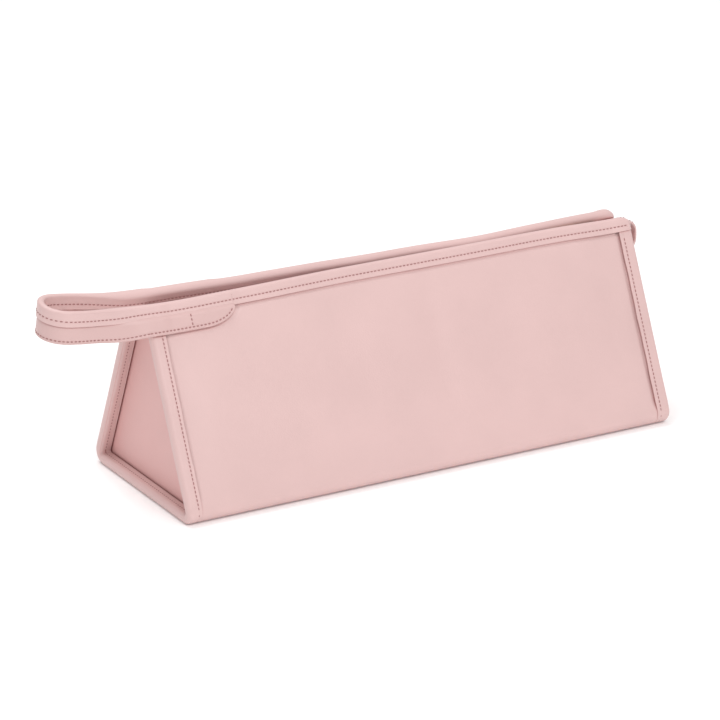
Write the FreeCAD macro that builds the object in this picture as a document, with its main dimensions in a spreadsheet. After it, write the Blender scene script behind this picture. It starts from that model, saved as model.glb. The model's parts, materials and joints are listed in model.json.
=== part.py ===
"""A zipped pouch of three-sided section, with a wrist loop, in imitation leather.

Millimetres. +X runs along the pouch towards the closed end of the zip, +Y from the front wall
to the back wall, and +Z up. The origin is the middle of the base, on the surface it stands on.
The wrist loop is at the -X end. A wall's places are given by two numbers: the depth inside
the wall's outer skin line, and the way up along that line from the sharp corner at the base.
"""
import FreeCAD, Part
import math
import os
import Sketcher

Vector = FreeCAD.Vector

SIZES = [
    # the pouch as a whole
    ("body_length", 336.0),       # over the bindings at both ends
    ("base_depth", 130.5),        # between the sharp corners of the base
    ("body_height", 120.0),
    ("mouth_width", 20.0),        # over both walls, at body_height
    ("fold_inside", 1.2),         # inner radius of the binding at the base folds
    ("clearance", 0.3),           # between pieces that move apart
    # the sheets
    ("cover_skin", 1.1),
    ("board_skin", 2.2),
    ("lining_skin", 0.8),
    ("binding_skin", 0.8),
    ("tape_skin", 0.6),
    # the ends
    ("binding_return", 5.5),      # on the inside of the flange
    ("end_recess", 8.5),          # from the flange's edge to the end panel
    ("binding_overlap", 0.5),     # how far the outside leg reaches past the end panel's face
    ("end_drop", 6.0),            # from the zip down to the end panel's top edge
    # the hems along the mouth
    ("hem_height", 8.0),
    ("hem_return", 6.5),
    # the wrist strap
    ("strap_height", 20.0),
    ("strap_skin", 2.4),
    ("strap_tail", 59.0),         # the sewn tail on each wall
    ("core_skin", 1.0),
    ("core_margin", 0.8),
    ("bend_length", 16.0),        # the part that flexes, next to the pouch
    ("loop_reach", 64.0),         # beyond the pouch's end
    ("loop_radius", 13.2),        # of the strap's middle, at the far turn
    ("loop_rise", 8.0),           # degrees
    # the zip
    ("zip_depth", 11.0),          # from body_height down to the teeth
    ("zip_margin", 22.0),         # from the flange's edge to the teeth
    ("coil_radius", 1.3),
    ("stop_length", 2.4),
    ("slider_length", 12.0),
    ("slider_width", 9.0),
    ("wing_skin", 1.1),
    ("wing_room", 0.6),           # between the teeth and a wing
    ("lip_room", 0.6),            # between the tape and a wing's lip
    ("neck_length", 3.0),
    ("neck_width", 2.6),
    ("bail_length", 8.0),
    ("bail_width", 2.4),
    ("bail_leg", 1.4),
    ("bail_bar", 1.2),
    ("pin_radius", 0.7),
    ("pin_room", 0.4),
    ("pull_length", 26.0),
    ("pull_width", 7.0),
    ("pull_skin", 1.3),
    ("pull_arm", 1.0),
    ("pull_eye", 6.0),
    # the leather tab over the zip's closed end
    ("tab_width", 10.0),
    ("tab_skin", 1.7),
    ("tab_radius", 9.7),
    ("tab_drop", 15.0),           # from the mouth down to the middle of the tab's turn
    ("tab_root", 16.0),           # from the flange's edge back into the mouth
]

FRONT, BACK = -1, 1
LEFT, RIGHT = -1, 1
START, END, CENTRE = 1, 2, 3      # a sketch element's points

doc = FreeCAD.newDocument("Pouch")

sheet = doc.addObject("Spreadsheet::Sheet", "Sizes")
for row, (alias, number) in enumerate(SIZES, start=1):
    sheet.set(f"A{row}", alias)
    sheet.set(f"B{row}", str(number))
    sheet.setAlias(f"B{row}", alias)
doc.recompute()

# What follows from the sizes, once for every sub-part.
LAYOUT = [
    ("lean", "App::PropertyAngle", "atan((Sizes.base_depth-Sizes.mouth_width)/2/Sizes.body_height)"),
    ("wall_stack", "App::PropertyFloat", "Sizes.cover_skin+Sizes.board_skin+Sizes.lining_skin"),
    ("lip_inside", "App::PropertyFloat", "Layout.wall_stack+Sizes.cover_skin"),
    ("flange_stack", "App::PropertyFloat", "Layout.lip_inside+Sizes.binding_skin"),
    ("hem_inside", "App::PropertyFloat", "Layout.wall_stack+Sizes.tape_skin"),
    ("fold_radius", "App::PropertyFloat", "Sizes.fold_inside+Layout.flange_stack"),
    ("fold_run", "App::PropertyFloat", "Layout.fold_radius/tan((90 deg-Layout.lean)/2)"),
    ("base_half", "App::PropertyFloat", "Sizes.base_depth/2-Layout.fold_run"),
    ("wall_top", "App::PropertyFloat", "Sizes.body_height/cos(Layout.lean)-Sizes.binding_skin"),
    ("side_top", "App::PropertyFloat", "Layout.wall_top-Sizes.hem_height-Sizes.clearance"),
    ("flange_end", "App::PropertyFloat", "Sizes.body_length/2"),
    ("binding_width", "App::PropertyFloat", "Sizes.end_recess+Sizes.binding_overlap"),
    ("panel_end", "App::PropertyFloat", "Layout.flange_end-Layout.binding_width"),
    ("end_face", "App::PropertyFloat", "Layout.flange_end-Sizes.end_recess"),
    ("zip_level", "App::PropertyFloat", "Sizes.body_height-Sizes.zip_depth"),
    ("tab_level", "App::PropertyFloat", "Sizes.body_height-Sizes.tab_drop"),
    ("coil_end", "App::PropertyFloat", "Layout.flange_end-Sizes.zip_margin"),
    ("coil_middle", "App::PropertyFloat", "Sizes.coil_radius+Sizes.clearance/2"),
    ("wing_inside", "App::PropertyFloat", "Sizes.coil_radius+Sizes.wing_room"),
    ("wing_outside", "App::PropertyFloat", "Layout.wing_inside+Sizes.wing_skin"),
    ("slider_nose", "App::PropertyFloat", "Layout.coil_end+Sizes.clearance+Sizes.neck_length"),
    ("bail_room", "App::PropertyFloat", "2*(Sizes.pin_radius+Sizes.pin_room)"),
    ("loop_root", "App::PropertyFloat", "Layout.flange_end+Sizes.bend_length"),
    ("loop_apex", "App::PropertyFloat", "Sizes.loop_reach-Sizes.bend_length-Sizes.strap_skin/2"),
    ("leg_middle", "App::PropertyFloat", "(Sizes.mouth_width+Sizes.strap_skin)/2"),
]
layout = doc.addObject("App::VarSet", "Layout")
for name, kind, formula in LAYOUT:
    layout.addProperty(kind, name)
    layout.setExpression(name, formula)
    doc.recompute()

sub_parts = []


def number_of(formula):
    """The number that a formula gives now."""
    result = layout.evalExpression(formula)
    return float(getattr(result, "Value", result))


def keep(sub_part, label):
    """Name a finished sub-part. Its label names its file."""
    sub_part.Label = label
    sub_parts.append(sub_part)
    return sub_part


def new_body(label):
    return keep(doc.addObject("PartDesign::Body", label), label)


def new_sketch(body, name, plane, offset="0"):
    """An empty sketch on one of the body's origin planes, moved along that plane's normal."""
    sketch = body.newObject("Sketcher::SketchObject", f"{body.Name}_{name}")
    role = f"{plane}_Plane"
    origin_plane = [item for item in body.Origin.OriginFeatures if item.Role == role][0]
    sketch.AttachmentSupport = [(origin_plane, "")]
    sketch.MapMode = "FlatFace"
    sketch.setExpression("AttachmentOffset.Base.z", offset)
    return sketch


def fix_point(sketch, element, point, place, use_across=True, use_up=True):
    """Hold a sketch point at a place given by two formulas."""
    for wanted, kind, formula in ((use_across, "DistanceX", place[0]), (use_up, "DistanceY", place[1])):
        if wanted:
            constraint = Sketcher.Constraint(kind, -1, START, element, point, number_of(formula))
            index = sketch.addConstraint(constraint)
            sketch.setExpression(f"Constraints[{index}]", formula)


def arc_between(centre, first, last, turn):
    """A sketch arc about centre, from first to last, turning ccw or cw."""
    if turn == "cw":
        first, last = last, first
    angles = [math.atan2(point.y - centre.y, point.x - centre.x) for point in (first, last)]
    if angles[1] <= angles[0]:
        angles[1] += 2 * math.pi
    circle = Part.Circle(centre, Vector(0, 0, 1), (first - centre).Length)
    return Part.ArcOfCircle(circle, angles[0], angles[1])


def draw_outline(sketch, corners, arcs=None):
    """A closed outline through corners. arcs gives some sides a centre and a turn."""
    arcs = arcs or {}
    points = [Vector(number_of(across), number_of(up), 0) for across, up in corners]
    first_element = sketch.GeometryCount
    count = len(corners)
    ends = []
    for side in range(count):
        start, end = points[side], points[(side + 1) % count]
        if side in arcs:
            centre_place, turn = arcs[side]
            centre = Vector(number_of(centre_place[0]), number_of(centre_place[1]), 0)
            sketch.addGeometry(arc_between(centre, start, end, turn), False)
            ends.append((END, START) if turn == "cw" else (START, END))
        else:
            sketch.addGeometry(Part.LineSegment(start, end), False)
            ends.append((START, END))
    for side in range(count):
        following = (side + 1) % count
        joint = Sketcher.Constraint("Coincident", first_element + side, ends[side][1],
                                    first_element + following, ends[following][0])
        sketch.addConstraint(joint)
    for side, corner in enumerate(corners):
        fix_point(sketch, first_element + side, ends[side][0], corner)
    for side, (centre_place, turn) in arcs.items():
        chord = points[(side + 1) % count] - points[side]
        level = abs(chord.x) >= abs(chord.y)
        fix_point(sketch, first_element + side, CENTRE, centre_place, not level, level)


def pad(body, sketch, length, midplane=False, backwards=False):
    feature = body.newObject("PartDesign::Pad", f"{sketch.Name}_pad")
    feature.Profile = sketch
    feature.setExpression("Length", length)
    feature.Midplane = midplane
    feature.Reversed = backwards
    return feature


def rectangle(low_across, high_across, low_up, high_up):
    return [(low_across, low_up), (high_across, low_up), (high_across, high_up), (low_across, high_up)]


def wall_place(side, depth, up):
    """Formulas for a wall's place in the YZ plane."""
    across = f"({side})*(Sizes.base_depth/2-({up})*sin(Layout.lean)-({depth})*cos(Layout.lean))"
    height = f"({up})*cos(Layout.lean)-({depth})*sin(Layout.lean)"
    return across, height


def up_at_height(depth, height):
    """How far up the wall a place of that depth reaches that height."""
    return f"(({height})+({depth})*sin(Layout.lean))/cos(Layout.lean)"


def fold_centre(side):
    return f"({side})*Layout.base_half", "Layout.fold_radius"


def wrap_outline(outer, inner, up=None):
    """A band that runs down the front wall, under the base and up the back wall.

    With no up it ends where the base folds meet the flat walls.
    """
    corners = []
    arcs = {}
    for depth, sides, turn in ((outer, (FRONT, BACK), "ccw"), (inner, (BACK, FRONT), "cw")):
        for side in sides:
            low = (f"({side})*Layout.base_half", depth)
            high = wall_place(side, depth, "Layout.fold_run")
            goes_down = side == sides[0]
            if up and goes_down:
                corners.append(wall_place(side, depth, up))
            arcs[len(corners)] = (fold_centre(side), turn)
            corners.extend([high, low] if goes_down else [low, high])
            if up and not goes_down:
                corners.append(wall_place(side, depth, up))
    return corners, arcs


def add_end_band(body, name, end, outer, inner, setback, length):
    """A wrapped band at one end of the pouch, from setback inside the flange's edge."""
    sketch = new_sketch(body, name, "YZ", f"({end})*(Layout.flange_end-({setback}))")
    draw_outline(sketch, *wrap_outline(outer, inner, "Layout.side_top"))
    pad(body, sketch, length, backwards=end == RIGHT)


def make_base_layer(label, outer, inner):
    """One layer of the base, with the folds up to the flat walls."""
    body = new_body(label)
    sketch = new_sketch(body, "wrap", "YZ")
    draw_outline(sketch, *wrap_outline(outer, inner))
    pad(body, sketch, "2*Layout.panel_end", midplane=True)


def make_wall_layer(label, side, outer, inner):
    """One layer of a wall, with a full-length strip at the top for the hem to hold."""
    body = new_body(label)
    strips = [
        ("panel", "Layout.fold_run+Sizes.clearance", "2*(Layout.panel_end-Sizes.clearance)"),
        ("hem_strip", "Layout.wall_top-Sizes.hem_height", "2*(Layout.flange_end-Sizes.clearance)"),
    ]
    for name, low, length in strips:
        sketch = new_sketch(body, name, "YZ")
        corners = [wall_place(side, outer, low), wall_place(side, outer, "Layout.wall_top"),
                   wall_place(side, inner, "Layout.wall_top"), wall_place(side, inner, low)]
        draw_outline(sketch, corners)
        pad(body, sketch, length, midplane=True)


def make_hem(label, side):
    """The binding folded over a wall's top edge."""
    body = new_body(label)
    sketch = new_sketch(body, "fold", "YZ")
    crest = "Layout.wall_top+Sizes.binding_skin"
    inside = "Layout.hem_inside+Sizes.binding_skin"
    low, low_inside = "Layout.wall_top-Sizes.hem_height", "Layout.wall_top-Sizes.hem_return"
    places = [("-Sizes.binding_skin", low), ("-Sizes.binding_skin", "Layout.wall_top"), ("0", crest),
              ("Layout.hem_inside", crest), (inside, "Layout.wall_top"), (inside, low_inside),
              ("Layout.hem_inside", low_inside), ("Layout.hem_inside", "Layout.wall_top"),
              ("0", "Layout.wall_top"), ("0", low)]
    corners = [wall_place(side, depth, up) for depth, up in places]
    turn = "cw" if side == FRONT else "ccw"
    arcs = {1: (wall_place(side, "0", "Layout.wall_top"), turn),
            3: (wall_place(side, "Layout.hem_inside", "Layout.wall_top"), turn)}
    draw_outline(sketch, corners, arcs)
    pad(body, sketch, "Sizes.body_length", midplane=True)


def make_zip_tape(label, side):
    """The woven tape: level from the teeth to the wall, then up under the hem."""
    body = new_body(label)
    sketch = new_sketch(body, "strip", "YZ")
    edge = f"({side})*(Layout.coil_middle+Sizes.coil_radius)"
    under, over = "Layout.zip_level-Sizes.tape_skin/2", "Layout.zip_level+Sizes.tape_skin/2"
    corners = [(edge, under),
               wall_place(side, "Layout.wall_stack", up_at_height("Layout.wall_stack", under)),
               wall_place(side, "Layout.wall_stack", "Layout.wall_top"),
               wall_place(side, "Layout.hem_inside", "Layout.wall_top"),
               wall_place(side, "Layout.hem_inside", up_at_height("Layout.hem_inside", over)),
               (edge, over)]
    draw_outline(sketch, corners)
    pad(body, sketch, "2*(Layout.panel_end-Sizes.clearance)", midplane=True)


def make_zip_coil(label, side):
    """The row of teeth, as a plain rod."""
    coil = keep(doc.addObject("Part::Cylinder", label), label)
    coil.Placement = FreeCAD.Placement(Vector(), FreeCAD.Rotation(Vector(0, 1, 0), 90))
    coil.setExpression("Radius", "Sizes.coil_radius")
    coil.setExpression("Height", "2*Layout.coil_end")
    coil.setExpression("Placement.Base.x", "-Layout.coil_end")
    coil.setExpression("Placement.Base.y", f"({side})*Layout.coil_middle")
    coil.setExpression("Placement.Base.z", "Layout.zip_level")


def make_strap_tail(label, side):
    """The strap's sewn end, flat on the wall below the hem, with its lower corner rounded."""
    body = new_body(label)
    sketch = new_sketch(body, "outline", "XZ")
    low, high = "Layout.wall_top-Sizes.strap_height", "Layout.wall_top-Sizes.hem_height"
    tip = "-Layout.flange_end+Sizes.strap_tail"
    turn_start = f"{tip}-(Sizes.strap_height-Sizes.hem_height)"
    corners = [("-Layout.flange_end", low), (turn_start, low), (tip, high), ("-Layout.flange_end", high)]
    draw_outline(sketch, corners, {1: ((turn_start, high), "ccw")})
    pad(body, sketch, "Sizes.strap_skin", backwards=side == BACK)
    body.Placement = FreeCAD.Placement(Vector(), FreeCAD.Rotation(Vector(side, 0, 0), 10))
    body.setExpression("Placement.Base.y", f"({side})*Sizes.base_depth/2")
    body.setExpression("Placement.Rotation.Angle", "Layout.lean")


def make_seam_edge(label, end):
    """The cover's own edge, pressed flat between the legs of the binding."""
    body = new_body(label)
    add_end_band(body, "edge", end, "Sizes.binding_skin", "Layout.wall_stack", "Sizes.binding_skin",
                 "Layout.binding_width-Sizes.binding_skin")


def make_binding(label, end):
    """The folded strip that grips the flange down both sides and under the base."""
    body = new_body(label)
    add_end_band(body, "edge", end, "0", "Layout.flange_stack", "0", "Sizes.binding_skin")
    add_end_band(body, "outside", end, "0", "Sizes.binding_skin", "0", "Layout.binding_width")
    add_end_band(body, "inside", end, "Layout.lip_inside", "Layout.flange_stack", "0",
                 "Sizes.binding_return")


def end_panel_outline(top):
    """The end's outline, just clear of the walls' linings."""
    depth = "Layout.wall_stack+Sizes.clearance"
    rise = up_at_height(depth, top)
    corners = []
    arcs = {}
    for side in (FRONT, BACK):
        arcs[len(corners) if side == BACK else 1] = (fold_centre(side), "ccw")
        low = (f"({side})*Layout.base_half", depth)
        bend = wall_place(side, depth, "Layout.fold_run")
        high = wall_place(side, depth, rise)
        corners.extend([high, bend, low] if side == FRONT else [low, bend, high])
    return corners, arcs


def add_end_sheet(body, name, end, setback, thickness):
    """A flat sheet across one end, its outer face set back from the flange's edge."""
    sketch = new_sketch(body, name, "YZ", f"({end})*(Layout.flange_end-({setback}))")
    draw_outline(sketch, *end_panel_outline("Layout.zip_level-Sizes.end_drop"))
    pad(body, sketch, thickness, backwards=end == RIGHT)


def make_end_panel(label, end):
    """The recessed end with its lip turned out into the binding."""
    body = new_body(label)
    add_end_sheet(body, "sheet", end, "Sizes.end_recess", "Sizes.cover_skin")
    add_end_band(body, "lip", end, "Layout.wall_stack", "Layout.lip_inside", "Sizes.binding_skin",
                 "Layout.binding_width-Sizes.binding_skin")


def make_end_layer(label, end, setback, thickness):
    body = new_body(label)
    add_end_sheet(body, "sheet", end, f"Sizes.end_recess+{setback}", thickness)


def make_zip_stop(label, low_x, low_y, width):
    """A small block clamped over the end of the teeth."""
    stop = keep(doc.addObject("Part::Box", label), label)
    stop.setExpression("Length", "Sizes.stop_length")
    stop.setExpression("Width", width)
    stop.setExpression("Height", "2*Sizes.coil_radius")
    stop.setExpression("Placement.Base.x", low_x)
    stop.setExpression("Placement.Base.y", low_y)
    stop.setExpression("Placement.Base.z", "Layout.zip_level-Sizes.coil_radius")


def make_zip_end_tab(label):
    """A leather strip folded round the zip's closed end and sewn to the end panel."""
    body = new_body(label)
    sketch = new_sketch(body, "fold", "XZ")
    turn_x = "Layout.flange_end"
    top, low = "Layout.tab_level+Sizes.tab_radius", "Layout.tab_level-Sizes.tab_radius"
    root = "Layout.flange_end-Sizes.tab_root"
    centre = (turn_x, "Layout.tab_level")
    corners = [(root, top), (turn_x, top), (turn_x, low), ("Layout.end_face", low),
               ("Layout.end_face", f"{low}+Sizes.tab_skin"), (turn_x, f"{low}+Sizes.tab_skin"),
               (turn_x, f"{top}-Sizes.tab_skin"), (root, f"{top}-Sizes.tab_skin")]
    draw_outline(sketch, corners, {1: (centre, "cw"), 5: (centre, "ccw")})
    pad(body, sketch, "Sizes.tab_width", midplane=True)


def make_slider_body(label):
    """Two wings round the teeth, joined by the neck, with a bail on top. Origin at the nose."""
    body = new_body(label)
    neck = new_sketch(body, "neck", "XY", "-Layout.wing_outside")
    draw_outline(neck, rectangle("-Sizes.neck_length", "0", "-Sizes.neck_width/2", "Sizes.neck_width/2"))
    pad(body, neck, "2*Layout.wing_outside")
    edge, lip = "Sizes.slider_width/2", "Sizes.slider_width/2-Sizes.wing_skin"
    lip_end = "Sizes.tape_skin/2+Sizes.lip_room"
    for name, way in (("top_wing", 1), ("bottom_wing", -1)):
        outside, inside = f"({way})*Layout.wing_outside", f"({way})*Layout.wing_inside"
        wing = new_sketch(body, name, "YZ", "-Sizes.slider_length")
        draw_outline(wing, [
            (f"-({edge})", outside), (edge, outside), (edge, f"({way})*({lip_end})"),
            (lip, f"({way})*({lip_end})"), (lip, inside), (f"-({lip})", inside),
            (f"-({lip})", f"({way})*({lip_end})"), (f"-({edge})", f"({way})*({lip_end})")])
        pad(body, wing, "Sizes.slider_length")
    bail = new_sketch(body, "bail", "XZ")
    middle = "-Sizes.slider_length/2"
    tail, nose = f"{middle}-Sizes.bail_length/2", f"{middle}+Sizes.bail_length/2"
    floor, ceiling = "Layout.wing_outside", "Layout.wing_outside+Layout.bail_room"
    crown = f"{ceiling}+Sizes.bail_bar"
    draw_outline(bail, [
        (tail, f"{floor}-Sizes.wing_skin/2"), (f"{tail}+Sizes.bail_leg", f"{floor}-Sizes.wing_skin/2"),
        (f"{tail}+Sizes.bail_leg", ceiling), (f"{nose}-Sizes.bail_leg", ceiling),
        (f"{nose}-Sizes.bail_leg", f"{floor}-Sizes.wing_skin/2"), (nose, f"{floor}-Sizes.wing_skin/2"),
        (nose, crown), (tail, crown)])
    pad(body, bail, "Sizes.bail_width", midplane=True)
    body.setExpression("Placement.Base.x", "Layout.slider_nose")
    body.setExpression("Placement.Base.z", "Layout.zip_level")


def make_zip_pull(label):
    """The pull, lying along the teeth. Origin on the pin that turns in the bail."""
    body = new_body(label)
    plate = new_sketch(body, "plate", "XY")
    half, inner = "Sizes.pull_width/2", "Sizes.pull_width/2-Sizes.pull_arm"
    turn = f"-Sizes.pull_length+{half}"
    corners = [("0", half), (turn, half), (turn, f"-({half})"), ("0", f"-({half})"), ("0", f"-({inner})"),
               ("-Sizes.pull_eye", f"-({inner})"), ("-Sizes.pull_eye", inner), ("0", inner)]
    draw_outline(plate, corners, {1: ((turn, "0"), "ccw")})
    pad(body, plate, "Sizes.pull_skin", midplane=True)
    pin = new_sketch(body, "pin", "XZ")
    pin.addGeometry(Part.Circle(Vector(0, 0, 0), Vector(0, 0, 1), number_of("Sizes.pin_radius")), False)
    pin.addConstraint(Sketcher.Constraint("Coincident", 0, CENTRE, -1, START))
    radius = pin.addConstraint(Sketcher.Constraint("Radius", 0, number_of("Sizes.pin_radius")))
    pin.setExpression(f"Constraints[{radius}]", "Sizes.pin_radius")
    pad(body, pin, "Sizes.pull_width", midplane=True)
    body.setExpression("Placement.Base.x", "Layout.slider_nose-Sizes.slider_length/2")
    body.setExpression("Placement.Base.z", "Layout.zip_level+Layout.wing_outside+Layout.bail_room/2")


def strap_foot():
    return "Sizes.body_height-Sizes.strap_height"


def make_strap_bend(label, side):
    """The short part that flexes: leaning with the wall at one end, upright at the other."""
    body = new_body(label)
    at_wall = new_sketch(body, "at_wall", "YZ", "-Layout.flange_end")
    low = "Layout.wall_top-Sizes.strap_height"
    top = "Layout.wall_top"
    draw_outline(at_wall, [wall_place(side, "-Sizes.strap_skin", low), wall_place(side, "0", low),
                           wall_place(side, "0", top), wall_place(side, "-Sizes.strap_skin", top)])
    at_loop = new_sketch(body, "at_loop", "YZ", "-Layout.loop_root")
    outer = f"({side})*(Layout.leg_middle+Sizes.strap_skin/2)"
    inner = f"({side})*(Layout.leg_middle-Sizes.strap_skin/2)"
    draw_outline(at_loop, [(outer, "0"), (inner, "0"), (inner, "Sizes.strap_height"),
                           (outer, "Sizes.strap_height")])
    at_loop.AttachmentOffset = FreeCAD.Placement(Vector(), FreeCAD.Rotation(Vector(1, 0, 0), 5))
    at_loop.setExpression("AttachmentOffset.Base.y", strap_foot())
    at_loop.setExpression("AttachmentOffset.Base.z", "-Layout.loop_root")
    at_loop.setExpression("AttachmentOffset.Rotation.Angle", "Sizes.loop_rise")
    loft = body.newObject("PartDesign::AdditiveLoft", f"{label}_loft")
    loft.Profile = at_wall
    loft.Sections = [at_loop]
    loft.Ruled = True


def make_loop_layer(label, outlines):
    """A layer of the wrist loop: half a loop swept from its far turn, and its mirror image.

    Each outline is drawn across the strap at the far turn. The body's origin is on the loop's
    root plane, at the strap's lower edge.
    """
    body = new_body(label)
    path = new_sketch(body, "path", "XY")
    apex, centre = "-Layout.loop_apex", "-Layout.loop_apex+Sizes.loop_radius"
    middle = Vector(number_of(centre), 0, 0)
    turn_end = middle + Vector(0, -number_of("Sizes.loop_radius"), 0)
    root = ("-Sizes.clearance", "-Layout.leg_middle")
    root_point = Vector(number_of(root[0]), number_of(root[1]), 0)
    path.addGeometry(arc_between(middle, Vector(number_of(apex), 0, 0), turn_end, "ccw"), False)
    path.addGeometry(Part.LineSegment(turn_end, root_point), False)
    fix_point(path, 0, START, (apex, "0"))
    fix_point(path, 0, CENTRE, (centre, "0"))
    path.addConstraint(Sketcher.Constraint("Tangent", 0, END, 1, START))
    fix_point(path, 1, END, root)
    across = new_sketch(body, "across", "XZ")
    for corners in outlines:
        draw_outline(across, corners)
    sweep = body.newObject("PartDesign::AdditivePipe", f"{label}_sweep")
    sweep.Profile = across
    sweep.Spine = (path, [])
    doc.recompute()
    mirror = body.newObject("PartDesign::Mirrored", f"{label}_mirror")
    mirror.Originals = [sweep]
    mirror_plane = [item for item in body.Origin.OriginFeatures if item.Role == "XZ_Plane"][0]
    mirror.MirrorPlane = (mirror_plane, [""])
    body.Tip = mirror
    body.Placement = FreeCAD.Placement(Vector(), FreeCAD.Rotation(Vector(0, 1, 0), 5))
    body.setExpression("Placement.Base.x", "-Layout.loop_root")
    body.setExpression("Placement.Base.z", strap_foot())
    body.setExpression("Placement.Rotation.Angle", "Sizes.loop_rise")


def loop_rectangle(half_thickness, low, high):
    apex = "-Layout.loop_apex"
    return rectangle(f"{apex}-({half_thickness})", f"{apex}+({half_thickness})", low, high)


def make_wrist_loop():
    strap_half, core_half = "Sizes.strap_skin/2", "Sizes.core_skin/2"
    core_low, core_high = "Sizes.core_margin", "Sizes.strap_height-Sizes.core_margin"
    strap = loop_rectangle(strap_half, "0", "Sizes.strap_height")
    core = loop_rectangle(core_half, core_low, core_high)
    make_loop_layer("strap_loop", [strap, core])
    make_loop_layer("strap_loop_core", [core])
    outer_half = f"{strap_half}+Sizes.binding_skin"
    out, within = f"-Layout.loop_apex-({outer_half})", f"-Layout.loop_apex-({strap_half})"
    far_out, far_within = f"-Layout.loop_apex+({outer_half})", f"-Layout.loop_apex+({strap_half})"
    low, high = "Sizes.strap_height-Sizes.hem_height", "Sizes.strap_height"
    crest = f"{high}+Sizes.binding_skin"
    make_loop_layer("strap_loop_hem", [[
        (out, low), (within, low), (within, high), (far_within, high), (far_within, low), (far_out, low),
        (far_out, crest), (out, crest)]])


board_in, board_out = "Sizes.cover_skin+Sizes.board_skin", "Sizes.cover_skin"
LAYERS = [("cover", "0", board_out), ("board", board_out, board_in), ("lining", board_in, "Layout.wall_stack")]

for layer, outer, inner in LAYERS:
    make_base_layer(f"base_{layer}", outer, inner)
for wall, side in (("front", FRONT), ("back", BACK)):
    for layer, outer, inner in LAYERS:
        make_wall_layer(f"{wall}_{layer}", side, outer, inner)
    make_hem(f"{wall}_hem", side)
    make_zip_tape(f"{wall}_zip_tape", side)
    make_zip_coil(f"{wall}_zip_coil", side)
    make_strap_tail(f"strap_{wall}_tail", side)
    make_strap_bend(f"strap_{wall}_bend", side)
    inner_edge = f"({side})*Layout.coil_middle-Sizes.coil_radius"
    make_zip_stop(f"{wall}_top_stop", "Layout.slider_nose+Sizes.clearance", inner_edge,
                  "2*Sizes.coil_radius")
for name, end in (("left", LEFT), ("right", RIGHT)):
    make_seam_edge(f"{name}_seam_edge", end)
    make_binding(f"{name}_binding", end)
    make_end_panel(f"{name}_end_panel", end)
    make_end_layer(f"{name}_end_board", end, "Sizes.cover_skin", "Sizes.board_skin")
    make_end_layer(f"{name}_end_lining", end, "Sizes.cover_skin+Sizes.board_skin", "Sizes.lining_skin")
make_zip_stop("zip_bottom_stop", "-Layout.coil_end-Sizes.clearance-Sizes.stop_length",
              "-Layout.coil_middle-Sizes.coil_radius", "2*(Layout.coil_middle+Sizes.coil_radius)")
make_zip_end_tab("zip_end_tab")
make_slider_body("slider_body")
make_zip_pull("zip_pull")
make_wrist_loop()
doc.recompute()

for item in doc.Objects:
    bad = [state for state in item.State if state in ("Invalid", "Error")]
    if bad:
        raise RuntimeError(f"{item.Label} did not recompute: {bad}")
for sub_part in sub_parts:
    if sub_part.Shape.isNull() or not sub_part.Shape.isValid() or not sub_part.Shape.Solids:
        raise RuntimeError(f"{sub_part.Label} has no valid solid")

os.makedirs("parts", exist_ok=True)
for sub_part in sub_parts:
    sub_part.Shape.exportStep(f"parts/{sub_part.Label}.step")
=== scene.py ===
import json
import math
import bpy
import numpy as np
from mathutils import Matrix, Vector


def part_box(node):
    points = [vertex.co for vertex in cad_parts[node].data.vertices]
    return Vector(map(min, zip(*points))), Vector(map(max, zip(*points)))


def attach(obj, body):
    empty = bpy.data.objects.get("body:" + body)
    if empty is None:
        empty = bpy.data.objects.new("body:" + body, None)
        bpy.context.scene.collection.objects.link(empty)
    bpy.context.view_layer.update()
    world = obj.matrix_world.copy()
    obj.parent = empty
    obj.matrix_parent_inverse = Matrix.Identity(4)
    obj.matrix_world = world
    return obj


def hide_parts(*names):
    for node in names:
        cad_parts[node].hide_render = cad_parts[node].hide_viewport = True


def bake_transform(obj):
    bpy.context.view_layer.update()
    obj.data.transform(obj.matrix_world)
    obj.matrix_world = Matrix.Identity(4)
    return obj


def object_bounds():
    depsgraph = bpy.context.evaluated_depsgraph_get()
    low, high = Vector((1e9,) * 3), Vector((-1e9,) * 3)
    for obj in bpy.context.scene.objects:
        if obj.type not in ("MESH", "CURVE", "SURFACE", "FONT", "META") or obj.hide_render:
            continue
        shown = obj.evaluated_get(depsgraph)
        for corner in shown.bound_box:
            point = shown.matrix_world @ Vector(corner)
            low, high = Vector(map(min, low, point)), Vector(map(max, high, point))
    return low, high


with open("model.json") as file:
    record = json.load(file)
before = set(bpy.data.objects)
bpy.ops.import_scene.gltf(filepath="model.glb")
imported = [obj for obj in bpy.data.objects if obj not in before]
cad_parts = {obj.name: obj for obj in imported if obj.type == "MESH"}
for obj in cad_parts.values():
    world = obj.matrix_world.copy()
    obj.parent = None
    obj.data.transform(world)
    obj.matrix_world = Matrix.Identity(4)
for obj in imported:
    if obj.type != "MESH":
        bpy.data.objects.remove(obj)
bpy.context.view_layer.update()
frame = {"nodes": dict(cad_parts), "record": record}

MM = 0.001
FRONT, BACK = -1, 1
LEFT, RIGHT = -1, 1

# ---------------------------------------------------------------- places, read from the frame

JOINTS = {joint["name"]: joint for joint in frame["record"]["behaviour"]["joints"]}
HINGE_Y = abs(JOINTS["front_wall_open"]["pos_m"][1])
HINGE_Z = JOINTS["front_wall_open"]["pos_m"][2]

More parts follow.
